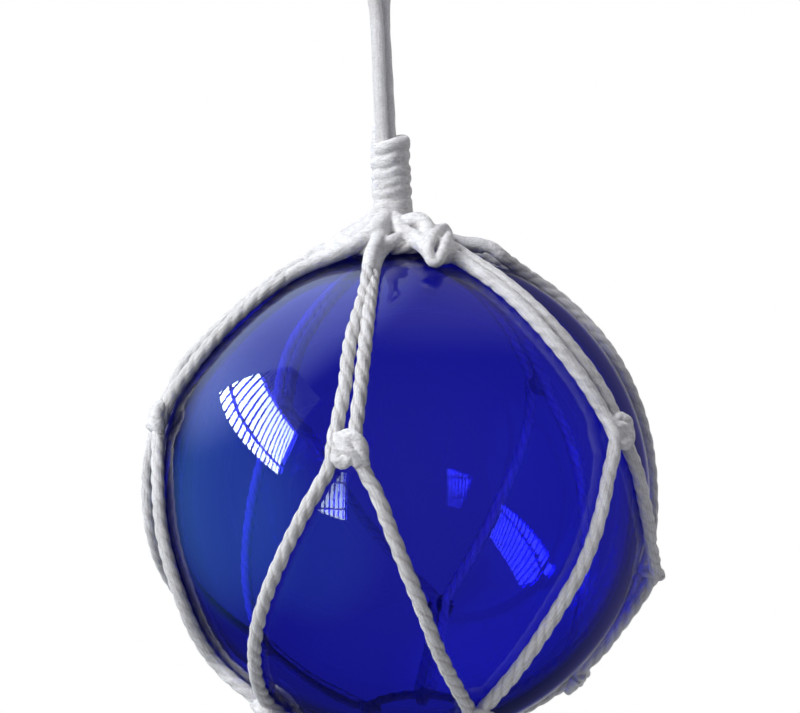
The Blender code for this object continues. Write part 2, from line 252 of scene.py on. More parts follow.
# The loop that holds the right pair down, out over the ring and back.
CROWN_LOOP = [(19.7, 65, 0.5), (19.3, 67.2, 1.0), (24.5, 70.5, 1.35), (45.5, 76.5, 1.3)]
CROWN_LOOP += [(58, 77, 1.5), (62, 76.3, 1.0), (32.5, 69.5, 1.1), (26, 66.3, 0.85), (21.7, 64.5, 0.5)]
CROWN_HITCHES = [130, 144, -158, -145]  # the azimuths of turns around the crown ring
# The stretch of each strand in the crown, as (length, thickness), and where it differs.
START_SIZE = (0.040, 1.18)
START_SIZES = {"front": (0.060, 1.22)}
# How plain each pair of strands is; two values are for the crown and the bottom.
RUBBED = {"left": 0.30, "front": 0.10, "right": (0.60, 0.0), "back_right": 0.20, "back_left": 0.20}
# How cords are packed into one mass, as (voxel size, rounds of softening).
KNOT_PACKING = (0.0003, 4)
CROWN_PACKING = (0.0005, 6)
NECK_PACKING = (0.0004, 9)
LEAST_BIT = 50  # points of the smallest loose bit that such a mass keeps

# The cotton's darker and lighter tones, and the darkest painted shade between its yarns.
NET_TONES = [(0.80, 0.785, 0.775), (0.87, 0.865, 0.87)]
NET_SHADE = 0.74
# A lighter copy for the hanging cord: painted light, for light that its lamps don't give it.
HANGING_TONES = [(0.90, 0.89, 0.89), (0.94, 0.94, 0.95)]
HANGING_SHADE = 0.90
FIBRES = {"scale": 1100.0, "detail": 4.0, "roughness": 0.65}
FIBRE_HEIGHT = 0.8  # of the fibres, against the yarns
SOIL_SCALE = 90.0  # of the patches of the two tones
# How uneven a surface looks, as (strength, distance).
COTTON_BUMP = (0.7, 0.0009)
GLASS_BUMP = (0.25, 0.0006)
WHITE = (1.0, 1.0, 1.0)
GLASS_INDEX = 1.52
GLASS_COLOR = (0.02, 0.03, 0.90, 1.0)
GLASS_DENSITY = 330.0  # per metre of glass that the light goes through

# The room around the part, as light per direction: everywhere, and in glows given by
# (azimuth, elevation, inner and outer angle, colour).
ROOM_BASE = (0.04, 0.045, 0.06)
ROOM_GLOWS = [
    (179, -12, 14, 28, (0.30, 0.30, 0.34)),
    (135, 8, 30, 62, (0.06, 0.05, 0.10)),
    (-128, 46, 16, 44, (1.10, 1.35, 1.75)),
    (170, 62, 10, 45, (0.35, 0.34, 0.38)),
    (-88, 4, 8, 50, (0.20, 0.68, 0.92)),
    (-45, -10, 8, 40, (0.05, 0.25, 0.35)),
]
BAR_LIGHT = 0.03  # of a window's bars, against its panes
INSIDE_GAIN = 1.0  # added to a window seen through the glass, whose blue would hide it
DIFFUSE_LIGHT = (0.235, 0.24, 0.27)  # the room's even light on all but the glass
WINDOW_COLOR = (0.82, 1.0, 0.98, 1.0)
# Square lights, as (azimuth, elevation, distance, side, watts, colour).
LIGHTS = {
    "key": (-71, 42, 2.2, 1.1, 57.0, (0.95, 0.97, 1.0)),
    "front_fill": (-35, 28, 2.4, 1.2, 14.0, (0.96, 0.98, 1.0)),
    "side_fill": (128, 18, 2.4, 1.2, 20.0, (1.0, 0.96, 0.90)),
    "cord_key": (-40, 14, 2.2, 1.1, 38.0, WHITE),
}
THROUGH_GLASS = (0, 5, 2.2, 1.1)  # the same, up to the side
# What such light shows through the glass, and its watts.
SEEN_THROUGH_GLASS = [
    (["strand_back_left_2", "strand_back_right_1", "strand_back_right_2"], 60.0),
    (["strand_back_left_1", "knot_back_left", "knot_back_right"], 30.0),
]
FLOOR_RADIUS = 2.0
FLOOR_HEIGHT = -1.75

CAMERA_DISTANCE = 6 * BALL_RADIUS
CAMERA_ELEVATION = math.radians(12)
CAMERA_ROLL = math.radians(-2.8)
CAMERA_PITCH = math.radians(5.28)  # the camera looks this far above the ball's centre
CAMERA_YAW = math.radians(0.12)  # and this far to its left
LENS = 65.5  # millimetres
SENSOR = 36.0  # millimetres


def on_ball(azimuth, latitude, radius=NET_RADIUS):
    """The point over the ball at that azimuth and latitude, in degrees."""
    turn, rise = math.radians(azimuth), math.radians(latitude)
    out = math.cos(rise) * math.sin(turn), -math.cos(rise) * math.cos(turn), math.sin(rise)
    return CENTRE + radius * Vector(out)


def lifted(azimuth, latitude, lift=0.0):
    """The same for a cord's middle, that many cord diameters off the ball."""
    return on_ball(azimuth, latitude, NET_RADIUS + lift * CORD)


def around(azimuth, radius, height):
    """The point at that distance from the vertical axis and height over the centre."""
    turn = math.radians(azimuth)
    return CENTRE + Vector((radius * math.sin(turn), -radius * math.cos(turn), height))


def off_the_glass(place):
    """The place, moved out to where a cord lies on the ball if it is nearer than that."""
    ray = place - CENTRE
    return CENTRE + ray * max(1.0, NET_RADIUS / ray.length)


def direction(azimuth, elevation):
    """The direction from the ball's centre at that azimuth and elevation, in degrees."""
    return (on_ball(azimuth, elevation) - CENTRE).normalized()


def curve_through(points, step):
    """A smooth open line through the points, sampled at most step apart."""
    ends = [2 * points[0] - points[1]] + list(points) + [2 * points[-1] - points[-2]]
    line = [points[0].copy()]
    for before, start, end, after in zip(ends, ends[1:], ends[2:], ends[3:]):
        count = math.ceil((end - start).length / step)
        for i in range(1, count + 1):
            t = i / count
            bend = (2 * before - 5 * start + 4 * end - after) * t**2
            twist = (3 * start - before - 3 * end + after) * t**3
            line.append(0.5 * (2 * start + (end - before) * t + bend + twist))
    return line


def taut_over_ball(points):
    """The same, pulled in to the ball: each stretch keeps the reach of its two ends."""
    line = [points[0].copy()]
    rays = [p - CENTRE for p in points]
    for i, (start, end) in enumerate(zip(rays, rays[1:])):
        before = rays[i - 1] if i else 2 * start - end
        after = rays[i + 2] if i + 2 < len(rays) else 2 * end - start
        stretch = curve_through([before, start, end, after], ROUTE_STEP)
        first = math.ceil((start - before).length / ROUTE_STEP)
        count = math.ceil((end - start).length / ROUTE_STEP)
        for k in range(1, count + 1):
            reach = start.length + (end.length - start.length) * k / count
            line.append(CENTRE + stretch[first + k].normalized() * reach)
    return line


def add_object(name, data):
    """An object with that data, in the scene."""
    thing = bpy.data.objects.new(name, data)
    bpy.context.scene.collection.objects.link(thing)
    return thing


def new_mesh(name, places, faces):
    """A mesh from its corners' places and its faces."""
    mesh = bpy.data.meshes.new(name)
    mesh.from_pydata(places, [], faces)
    return mesh


def mesh_of(name, shape):
    """A mesh from the bmesh, which is freed."""
    mesh = bpy.data.meshes.new(name)
    shape.to_mesh(mesh)
    shape.free()
    return mesh


def add_camera():
    """The camera at the photograph's viewing angle."""
    back = Vector((0, -math.cos(CAMERA_ELEVATION), math.sin(CAMERA_ELEVATION)))
    right = Vector((1, 0, 0))
    aimed = Matrix((right, back.cross(right), back)).transposed().to_4x4()
    turn = Matrix.Rotation(CAMERA_ROLL, 4, "Z") @ Matrix.Rotation(CAMERA_PITCH, 4, "X")
    turn = turn @ Matrix.Rotation(CAMERA_YAW, 4, "Y")
    data = bpy.data.cameras.new("camera")
    data.lens = LENS
    data.sensor_width = SENSOR
    camera = add_object("camera", data)
    camera.matrix_world = Matrix.Translation(CENTRE + CAMERA_DISTANCE * back) @ aimed @ turn
    bpy.context.scene.camera = camera


# ---- cords ----


def resample(route, step, closed):
    """Points evenly spaced along a route, as an array, and the distance between them."""
    points = np.array([tuple(p) for p in route])
    if closed:
        points = np.vstack([points, points[:1]])
    lengths = np.linalg.norm(np.diff(points, axis=0), axis=1)
    apart = lengths > SAME_PLACE
    points = points[np.concatenate([[True], apart])]
    along = np.concatenate([[0], np.cumsum(lengths[apart])])
    count = max(3, math.ceil(along[-1] / step))
    at = np.linspace(0, along[-1], count + 1)
    line = np.stack([np.interp(at, along, points[:, i]) for i in range(3)], axis=1)
    return (line[:-1] if closed else line), along[-1] / count


def smooth(line, closed, rounds=3):
    """Rounds off the corners that straight steps leave."""
    for _ in range(rounds):
        if closed:
            line = 0.5 * line + 0.25 * (np.roll(line, 1, axis=0) + np.roll(line, -1, axis=0))
        else:
            line[1:-1] = 0.5 * line[1:-1] + 0.25 * (line[:-2] + line[2:])
    return line


def frames_along(line, closed):
    """Two directions across the line at each point, which turn with it and don't twist."""
    if closed:
        tangents = np.roll(line, -1, axis=0) - np.roll(line, 1, axis=0)
    else:
        tangents = np.gradient(line, axis=0)
    tangents /= np.linalg.norm(tangents, axis=1)[:, None]
    start = np.cross(tangents[0], ODD_DIRECTION)
    first = [start / np.linalg.norm(start)]
    for tangent in tangents[1:]:
        across = first[-1] - tangent * np.dot(first[-1], tangent)
        first.append(across / np.linalg.norm(across))
    first = np.array(first)
    return first, np.cross(tangents, first), tangents


def closing_twist(first, second, tangents):
    """The angle by which a closed line's last frame misses its first."""
    across = first[-1] - tangents[0] * np.dot(first[-1], tangents[0])
    return math.atan2(np.dot(across, second[0]), np.dot(across, first[0]))


def strand_surface(angle):
    """From the cord's middle to its surface, at that angle from one of its strands."""
    third = math.tau / 3
    nearest = (angle + third / 2) % third - third / 2
    crisp = STRAND_AT * np.cos(nearest) + np.sqrt(STRAND**2 - (STRAND_AT * np.sin(nearest)) ** 2)
    worn = GROOVE + (CORD / 2 - GROOVE) * (0.5 + 0.5 * np.cos(3 * angle))
    return (1 - WORN) * crisp + WORN * worn


def clear_of_glass(places):
    """Moves whatever would dip into the ball out to its surface."""
    rays = places - np.array(CENTRE)
    reach = np.linalg.norm(rays, axis=1)
    floor = BALL_RADIUS + TOUCH
    return np.array(CENTRE) + rays * np.maximum(1.0, floor / reach)[:, None]


def unevenness(along, seed):
    """A slow wander between about -1 and 1, different for every cord."""
    total = 0.0
    for i, (length, share) in enumerate(WANDER_WAVES):
        total = total + share * np.sin(math.tau * along / length + seed * (WANDER_SEED + i))
    return total


def tube_faces(rings, closed):
    """The faces of a tube, as corners that count around each ring in turn."""
    index = np.arange(rings * ROPE_SIDES).reshape(rings, ROPE_SIDES)
    ends = [] if closed else [index[0, ::-1].tolist(), index[-1].tolist()]
    if closed:
        index = np.vstack([index, index[:1]])
    beside = np.roll(index, -1, axis=1)
    quads = np.stack([index[:-1], beside[:-1], beside[1:], index[1:]], axis=-1)
    return quads.reshape(-1, 4).tolist() + ends


def tube_uv(twist, step, closed):
    """UVs for those faces: around the cord without its twist, and along in cord diameters."""
    rows = len(twist) if closed else len(twist) - 1
    column = np.arange(ROPE_SIDES)
    u = np.stack([column, column + 1, column + 1, column], axis=-1) / ROPE_SIDES
    after_last = twist[:1] + (twist[-1] - twist[0])
    turns = np.concatenate([twist, after_last])[: rows + 1] / math.tau
    lower = np.stack([np.zeros(rows), np.zeros(rows), np.ones(rows), np.ones(rows)], axis=-1)
    shift = turns[:rows, None] * (1 - lower) + turns[1:, None] * lower
    us = u[None, :, :] + shift[:, None, :]
    vs = (np.arange(rows)[:, None, None] + lower[:, None, :]) * step / CORD + np.zeros_like(us)
    uv = np.stack([us, vs], axis=-1).reshape(-1, 2)
    ends = np.zeros((0 if closed else 2 * ROPE_SIDES, 2))
    return np.vstack([uv, ends])


def rope(
    name, route, closed=False, seed=0.0, thickness=1.0, tight=1.0, taper=1.0, plain=0.0, material=None
):
    """A cord of three twisted strands laid along the route, as a mesh object.

    Thickness and tight multiply its thickness and twist, and taper is its end's thickness
    against its start's. Plain goes from 0, for clear strands, to 1, for a smooth round cord;
    two values are for the two ends.
    """
    line, step = resample(route, ROPE_STEP, closed)
    line = smooth(line, closed)
    first, second, tangents = frames_along(line, closed)
    rings = len(line)
    along = step * np.arange(rings)
    if closed:
        total = rings * step
        thirds = round(total * tight / LAY * 3)
        missing = closing_twist(first, second, tangents)
        twist = -(math.tau * thirds / 3 - missing) * along / total
        wander = np.zeros(rings)
    else:
        wander = unevenness(along, seed)
        twist = -math.tau * along * tight / LAY + WANDER_TWIST * wander
    twist = twist + seed
    angles = math.tau * np.arange(ROPE_SIDES) / ROPE_SIDES
    plain_along = np.linspace(*np.broadcast_to(plain, 2), rings)[:, None]
    section = strand_surface(angles) * (1 - plain_along) + 0.5 * CORD * plain_along
    reach = section * FULL * thickness * (1 + WANDER_THICKNESS * wander)[:, None]
    reach = reach * np.linspace(1.0, taper, rings)[:, None]
    turned = angles[None, :] + twist[:, None]
    sideways = (reach * np.cos(turned))[:, :, None] * first[:, None, :]
    outward = (reach * np.sin(turned))[:, :, None] * second[:, None, :]
    places = clear_of_glass((line[:, None, :] + sideways + outward).reshape(-1, 3))
    mesh = new_mesh(name, places.tolist(), tube_faces(rings, closed))
    # How deep each point lies between the strands; the cotton paints shade there.
    groove = (1 - plain_along) * (0.5 * CORD - strand_surface(angles)) / (0.5 * CORD - GROOVE)
    mesh.attributes.new("groove", "FLOAT", "POINT").data.foreach_set("value", groove.ravel())
    uv = tube_uv(twist, step, closed)
    mesh.uv_layers.new(name="UVMap").data.foreach_set("uv", uv.ravel())
    mesh.shade_smooth()
    if material is not None:
        mesh.materials.append(material)
    return add_object(name, mesh)


def drop_loose_bits(mesh):
    """Deletes the tiny bits that a remesh leaves loose in a mass."""
    shape = bmesh.new()
    shape.from_mesh(mesh)
    unseen = set(shape.verts)
    while unseen:
        bit = [unseen.pop()]
        for vertex in bit:
            for edge in vertex.link_edges:
                other = edge.other_vert(vertex)
                if other in unseen:
                    unseen.remove(other)
                    bit.append(other)
        if len(bit) < LEAST_BIT:
            bmesh.ops.delete(shape, geom=bit, context="VERTS")
    shape.to_mesh(mesh)
    shape.free()


def felted(name, parts, voxel, rounds):
    """The parts as one worn mass of cotton, whose creases are soft.

    Voxel is the finest detail that it keeps, and rounds how often it is softened.
    """
    shape = bmesh.new()
    for part in parts:
        shape.from_mesh(part.data)
        bpy.data.objects.remove(part)
    mass = add_object(name, mesh_of(name, shape))
    remesh = mass.modifiers.new("remesh", "REMESH")
    remesh.mode = "VOXEL"
    remesh.voxel_size = voxel
    soften = mass.modifiers.new("soften", "SMOOTH")
    soften.factor = 0.5
    soften.iterations = rounds
    graph = bpy.context.evaluated_depsgraph_get()
    final = bpy.data.meshes.new_from_object(mass.evaluated_get(graph))
    mass.modifiers.clear()
    mass.data = final
    drop_loose_bits(final)
    final.shade_smooth()
    final.materials.clear()
    final.materials.append(felt)
    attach(mass, "root")
    return mass


def net_piece(name, route, **kinds):
    """A cord of the net, which rides on the part and stands for its CAD solid."""
    piece = rope(name, route, material=cotton, **kinds)
    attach(piece, "root")
    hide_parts("net")
    return piece


# ---- materials ----


class Nodes:
    """Short calls for building a node tree."""

    def __init__(self, tree):
        self.tree = tree

    def add(self, kind, **settings):
        """A new node of that kind."""
        node = self.tree.nodes.new(kind)
        for name, value in settings.items():
            setattr(node, name, value)
        return node

    def link(self, source, target):
        """Feeds an output into an input."""
        self.tree.links.new(source, target)

    def math(self, operation, a, b=None):
        """The result of a sum of numbers and outputs."""
        node = self.add("ShaderNodeMath", operation=operation)
        for socket, value in zip(node.inputs, (a, b)):
            if value is None:
                continue
            if isinstance(value, (int, float)):
                socket.default_value = value
            else:
                self.link(value, socket)
        return node.outputs[0]


def fill(node, **values):
    """Sets a node's inputs, whose names have _ for each space."""
    for name, value in values.items():
        node.inputs[name.replace("_", " ")].default_value = value


def new_material(name):
    """A material, its nodes and its main shader."""
    material = bpy.data.materials.new(name)
    material.use_nodes = True
    nodes = Nodes(material.node_tree)
    return material, nodes, material.node_tree.nodes["Principled BSDF"]


def ramp(nodes, value, stops):
    """A colour ramp over the value, from (position, colour) stops."""
    node = nodes.add("ShaderNodeValToRGB")
    elements = node.color_ramp.elements
    while len(elements) < len(stops):
        elements.new(1.0)
    for element, (position, color) in zip(elements, stops):
        element.position = position
        element.color = (*color, 1.0)
    nodes.link(value, node.inputs[0])
    return node.outputs["Color"]


def noise(nodes, vector, scale, detail=2.0, roughness=0.5):
    """Noise over the vector, with about scale blots in a unit of it."""
    node = nodes.add("ShaderNodeTexNoise")
    fill(node, Scale=scale, Detail=detail, Roughness=roughness)
    nodes.link(vector, node.inputs["Vector"])
    return node.outputs["Fac"]


def add_bump(nodes, shader, height, strength, distance):
    """Makes the surface look uneven: a height of 1 stands for that distance."""
    bump = nodes.add("ShaderNodeBump")
    fill(bump, Strength=strength, Distance=distance)
    nodes.link(height, bump.inputs["Height"])
    nodes.link(bump.outputs["Normal"], shader.inputs["Normal"])


def cotton_finish(nodes, shader, tones, yarns, shadows, fibre_shadow):
    """Patches of the two tones under the painted shadows, and a bump from the yarns and fibres."""
    place = nodes.add("ShaderNodeTexCoord").outputs["Object"]
    soil = noise(nodes, place, SOIL_SCALE, detail=3.0)
    fibres = noise(nodes, place, **FIBRES)
    tone = ramp(nodes, soil, [(0.35, tones[0]), (0.7, tones[1])])
    for shadow in shadows + [ramp(nodes, fibres, [(0.35, fibre_shadow), (0.6, WHITE)])]:
        shade = nodes.add("ShaderNodeMix", data_type="RGBA", blend_type="MULTIPLY")
        fill(shade, Factor=1.0)
        nodes.link(tone, shade.inputs["A"])
        nodes.link(shadow, shade.inputs["B"])
        tone = shade.outputs["Result"]
    nodes.link(tone, shader.inputs["Base Color"])
    height = nodes.math("ADD", yarns, nodes.math("MULTIPLY", fibres, FIBRE_HEIGHT))
    add_bump(nodes, shader, height, *COTTON_BUMP)
    fill(shader, Roughness=0.92, Specular_IOR_Level=0.25, Sheen_Weight=0.3, Sheen_Roughness=0.5)


def make_cotton(name, tones, shade):
    """White twisted cotton: yarns along the cord, loose fibres, and painted shade in the grooves.

    Shade is the darkest painted shade between the yarns, from 0 to 1.
    """
    material, nodes, shader = new_material(name)
    uv = nodes.add("ShaderNodeUVMap", uv_map="UVMap").outputs["UV"]
    split = nodes.add("ShaderNodeSeparateXYZ")
    nodes.link(uv, split.inputs[0])
    angle = nodes.math("MULTIPLY", split.outputs["X"], math.tau)
    wrapped = nodes.add("ShaderNodeCombineXYZ")
    nodes.link(nodes.math("COSINE", angle), wrapped.inputs[0])
    nodes.link(nodes.math("SINE", angle), wrapped.inputs[1])
    nodes.link(nodes.math("MULTIPLY", split.outputs["Y"], 0.10), wrapped.inputs[2])
    yarns = noise(nodes, wrapped.outputs[0], 4.5, detail=4.0, roughness=0.7)
    groove = nodes.add("ShaderNodeAttribute", attribute_name="groove").outputs["Fac"]
    shadows = [
        # Painted shade in the grooves between the strands.
        ramp(nodes, groove, [(0.45, WHITE), (1.0, (0.70, 0.665, 0.645))]),
        # Painted shade between the yarns, where the bump sinks.
        ramp(nodes, yarns, [(0.36, (shade, 0.98 * shade, 0.97 * shade)), (0.56, WHITE)]),
    ]
    cotton_finish(nodes, shader, tones, yarns, shadows, (0.84, 0.83, 0.83))
    return material


def make_felt():
    """The same cotton where it is packed and rubbed together: matted fibres, no clear strands."""
    material, nodes, shader = new_material("cotton_packed")
    place = nodes.add("ShaderNodeTexCoord").outputs["Object"]
    stretch = nodes.add("ShaderNodeMapping")
    fill(stretch, Rotation=(0.0, math.radians(16), 0.0), Scale=(0.35, 0.35, 1.3))
    nodes.link(place, stretch.inputs["Vector"])
    matted = noise(nodes, stretch.outputs["Vector"], 620.0, detail=4.0, roughness=0.7)
    # Painted shade where the matted fibres lie low.
    shadows = [ramp(nodes, matted, [(0.34, (0.76, 0.745, 0.74)), (0.56, WHITE)])]
    cotton_finish(nodes, shader, NET_TONES, matted, shadows, (0.86, 0.85, 0.85))
    return material


def make_glass():
    """Clear cobalt glass: its colour comes from how far light goes through the wall."""
    material, nodes, shader = new_material("blue_glass")
    place = nodes.add("ShaderNodeTexCoord").outputs["Object"]
    add_bump(nodes, shader, noise(nodes, place, 22.0, detail=1.0), *GLASS_BUMP)
    fill(shader, Base_Color=(*WHITE, 1.0), Roughness=0.0, IOR=GLASS_INDEX, Transmission_Weight=1.0)
    absorb = nodes.add("ShaderNodeVolumeAbsorption")
    fill(absorb, Color=GLASS_COLOR, Density=GLASS_DENSITY)
    output = material.node_tree.nodes["Material Output"]
    nodes.link(absorb.outputs["Volume"], output.inputs["Volume"])
    return material


# ---- the hanging loop ----


def loop_route():
    """The hanging cord: up one leg, around the eye over the hook and down the other."""
    across = Vector((math.cos(LOOP_ANGLE), math.sin(LOOP_ANGLE), 0))
    top = CORD / 2
    foot = CENTRE.z + NECK_TOP - SOCKET
    narrow = top - 4.2 * LOOP_BEND  # where the legs begin to part
    # Half of it, as (distance from the axis, height).
    half = [
        (LEG_SPREAD, foot),
        (LEG_SPREAD, foot + 0.5 * (narrow - foot)),
        (LEG_SPREAD, narrow),
        (0.72 * LOOP_BEND, top - 2.4 * LOOP_BEND),
        (LOOP_BEND, top - LOOP_BEND),
        (0.72 * LOOP_BEND, top - 0.28 * LOOP_BEND),
    ]
    points = [-across * x + Vector((0, 0, z)) for x, z in half]
    points.append(Vector((0, 0, top)))
    points += [across * x + Vector((0, 0, z)) for x, z in reversed(half)]
    return curve_through(points, 2 * CORD)


def build_loop():
    """The hanging cord, from its socket in the neck and back to it."""
    route = curve_through(loop_route(), ROUTE_STEP)
    loop = rope("hanging_loop_cord", route, seed=0.4, tight=0.6, plain=0.8, material=lit_cotton)
    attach(loop, "root")
    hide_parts("hanging_loop")


# ---- the glass ----


def shell(radius, inward):
    """A fine sphere around the ball's centre, as vertices and faces."""
    vertices = [Vector((0, 0, radius)), Vector((0, 0, -radius))]
    for j in range(1, SHELL_ROWS):
        polar = math.pi * j / SHELL_ROWS
        for i in range(SHELL_COLUMNS):
            a = math.tau * i / SHELL_COLUMNS
            flat, height = math.sin(polar) * radius, math.cos(polar) * radius
            vertices.append(Vector((flat * math.cos(a), flat * math.sin(a), height)))
    faces = []
    last = 2 + (SHELL_ROWS - 2) * SHELL_COLUMNS
    for i in range(SHELL_COLUMNS):
        k = (i + 1) % SHELL_COLUMNS
        faces.append((0, 2 + i, 2 + k))
        faces.append((1, last + k, last + i))
        for j in range(SHELL_ROWS - 2):
            a, b = 2 + j * SHELL_COLUMNS, 2 + (j + 1) * SHELL_COLUMNS
            faces.append((a + i, b + i, b + k, a + k))
    if inward:
        faces = [tuple(reversed(face)) for face in faces]
    return [tuple(CENTRE + v) for v in vertices], faces


def build_glass():
    """The hollow ball, as the outer and the inner surface of its wall."""
    outer, outer_faces = shell(BALL_RADIUS, inward=False)
    inner, inner_faces = shell(BALL_RADIUS - WALL, inward=True)
    shifted = [tuple(i + len(outer) for i in face) for face in inner_faces]
    mesh = new_mesh("glass_float", outer + inner, outer_faces + shifted)
    mesh.shade_smooth()
    mesh.materials.append(glass)
    ball = add_object("glass_float", mesh)
    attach(ball, "root")
    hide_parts("glass_ball")
    return ball


# ---- the net ----


def knot_frame(azimuth, latitude):
    """A knot's middle, and its sideways, upward and outward directions."""
    out = direction(azimuth, latitude)
    side = Vector((0, 0, 1)).cross(out).normalized()
    return CENTRE + out * NET_RADIUS, side, out.cross(side), out


def in_knot(place, offsets):
    """A knot's (sideways, up, outward) offsets as points."""
    middle, side, up, out = knot_frame(*place)
    return [middle + CORD * (side * s + up * u + out * o) for s, u, o in offsets]


def lower_pass(knot, shift):
    """Through a lower knot, to one side of its middle."""
    return in_knot(knot, [(0.55 * shift, 0.9, 0.0), (0.5 * shift, -0.9, 0.0)])


def tail(knot, shift):
    """From a lower knot to the bottom ring."""
    azimuth, _ = knot
    spread = TAIL_SPREAD * shift
    end = around(azimuth + spread, RING_RADIUS + CORD, -RING_HEIGHT)
    return [on_ball(azimuth + 0.4 * spread, -58), on_ball(azimuth + 0.7 * spread, -68), end]


def start_of(route, size=START_SIZE):
    """The first stretch of a strand, a little fuller, thinning into the strand."""
    length, thickness = size
    count = round(length / ROUTE_STEP)
    return rope("strand_start", route[:count], thickness=thickness, taper=0.80, plain=1.0)


def build_strands():
    """The net's strands, and the stretches of them that the crown packs together."""
    starts = []
    for side, strands in PAIRS.items():
        for index, (upper, lower, end) in enumerate(strands):
            knot = LOWER_KNOTS[end]
            shift = 1 - 2 * index
            through = (LEFT_THROUGH, RIGHT_THROUGH)[index]
            points = [lifted(*p) for p in upper] + in_knot(UPPER_KNOTS[side], through)
            points += [lifted(*p) for p in lower] + lower_pass(knot, shift) + tail(knot, shift)
            route = taut_over_ball(points)
            seed = 1.3 * index + len(side)
            net_piece(f"strand_{side}_{index + 1}", route, seed=seed, plain=RUBBED[side])
            starts.append(start_of(route, START_SIZES.get(side, START_SIZE)))
    side_cord = taut_over_ball([lifted(*p) for p in SIDE_CORD])
    net_piece("strand_side", side_cord, seed=0.7, plain=0.3)
    starts.append(start_of(side_cord))
    side_start = taut_over_ball([lifted(*p) for p in SIDE_UNDER])
    net_piece("strand_side_start", side_start, seed=1.9, plain=0.3)
    side_turn = wrap(SIDE_KNOT, BELOW_SIDE_KNOT, 0.85 * CORD)
    net_piece("hitch_side_knot", side_turn, closed=True, seed=0.9)
    return starts


def wrap(place, towards, radius, count=20):
    """A turn of cord around the cord at a place, square to its direction."""
    middle = lifted(*place)
    out = (middle - CENTRE).normalized()
    along = (lifted(*towards) - middle).normalized()
    side = out.cross(along).normalized()
    route = []
    for i in range(count):
        t = math.tau * i / count
        route.append(off_the_glass(middle + radius * (side * math.cos(t) + out * math.sin(t))))
    return route


def heart_of(place):
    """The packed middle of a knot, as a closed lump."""
    middle, side, up, out = knot_frame(*place)
    shape = bmesh.new()
    bmesh.ops.create_uvsphere(shape, u_segments=24, v_segments=16, radius=CORD)
    wide, tall, deep = KNOT_HEART
    places = []
    for vertex in shape.verts:
        x, y, z = vertex.co
        places.append(middle + side * wide * x + up * tall * y + out * deep * z)
    places = clear_of_glass(np.array([tuple(spot) for spot in places]))
    for vertex, spot in zip(shape.verts, places):
        vertex.co = spot
    return bpy.data.objects.new("knot_heart", mesh_of("knot_heart", shape))


def build_knots():
    """Each knot's turns around its middle, packed into one lump."""
    lower = {"low_" + name: place for name, place in LOWER_KNOTS.items()}
    for name, place in {**UPPER_KNOTS, **lower}.items():
        parts = [heart_of(place)]
        for i, turn in enumerate(KNOT_TURNS):
            route = curve_through(in_knot(place, turn), ROPE_STEP)
            parts.append(rope("turn", route, seed=0.9 * i, tight=1.1, plain=0.2))
        knot = felted(f"knot_{name}", parts, *KNOT_PACKING)
        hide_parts("net")


def ring_route(height, count=48):
    """A ring's middle line, at that height over the ball's centre."""
    return [around(i * 360 / count, RING_RADIUS, height) for i in range(count)]


def build_rings():
    """The rings of cord at the crown and under the ball."""
    for node, height in (("crown_ring", RING_HEIGHT), ("bottom_ring", -RING_HEIGHT)):
        ring = rope(node + "_cord", ring_route(height), closed=True, material=cotton)
        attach(ring, "root")
        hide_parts(node)


def hitch_turn(azimuth, height, count=24):
    """A turn of cord around a ring."""
    route = []
    for i in range(count):
        t = math.tau * i / count
        radius = RING_RADIUS + 0.8 * CORD * math.cos(t)
        route.append(off_the_glass(around(azimuth, radius, height + CORD * math.sin(t))))
    return route


def cone(low, low_radius, high, high_radius, sides=40):
    """A closed cone around the axis, between two heights over the ball's centre."""
    tips = (0.001 * low_radius, low), (0.001 * high_radius, high)
    rings = [tips[0], (low_radius, low), (high_radius, high), tips[1]]
    vertices = [tuple(around(360 * i / sides, r, z)) for r, z in rings for i in range(sides)]
    faces = []
    for k in range(3):
        for i in range(sides):
            j = (i + 1) % sides
            faces.append((k * sides + i, k * sides + j, (k + 1) * sides + j, (k + 1) * sides + i))
    faces.append(tuple(reversed(range(sides))))
    faces.append(tuple(range(3 * sides, 4 * sides)))
    return bpy.data.objects.new("cone", new_mesh("cone", vertices, faces))


def build_crown(starts):
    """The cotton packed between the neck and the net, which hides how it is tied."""
    wraps = list(starts)
    for azimuth in CROWN_HITCHES:
        hitch = hitch_turn(azimuth, RING_HEIGHT)
        wraps.append(rope("hitch", hitch, closed=True, thickness=1.08))
    for name, (thickness, taper, places) in CROWN_CORDS.items():
        in_neck = around(places[0][0], 0.3 * NECK_RADIUS, NECK_BOTTOM)
        route = curve_through([in_neck] + [lifted(*p) for p in places], ROPE_STEP)
        wraps.append(rope(name, route, thickness=thickness, taper=taper, plain=0.8))
    loop = [lifted(*p) for p in CROWN_LOOP]
    loop = curve_through(loop + loop[:1], ROPE_STEP)[:-1]
    wraps.append(rope("crown_loop", loop, closed=True, thickness=0.86, plain=0.5))
    low, high = RING_HEIGHT - 0.05 * CORD, NECK_BOTTOM - 0.2 * CORD
    wraps.append(cone(low, 0.80 * RING_RADIUS, high, 0.95 * NECK_RADIUS))
    mass = felted("crown_wraps", wraps, *CROWN_PACKING)
    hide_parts("net")


def build_bottom_hitches():
    """The turns around the bottom ring, one under each lower knot."""
    for name, (azimuth, _) in LOWER_KNOTS.items():
        net_piece(f"hitch_low_{name}", hitch_turn(azimuth, -RING_HEIGHT), closed=True)


def pressed(thing, radius):
    """Presses in what stands out further than that from the neck's axis."""
    places = np.empty(len(thing.data.vertices) * 3)
    thing.data.vertices.foreach_get("co", places)
    places = places.reshape(-1, 3)
    reach = np.hypot(places[:, 0] - CENTRE.x, places[:, 1] - CENTRE.y)
    squeeze = np.minimum(1.0, (radius + PRESSED * np.maximum(reach - radius, 0)) / reach)
    axis = np.array(CENTRE)[:2]
    places[:, :2] = axis + (places[:, :2] - axis) * squeeze[:, None]
    thing.data.vertices.foreach_set("co", places.ravel())
    return thing


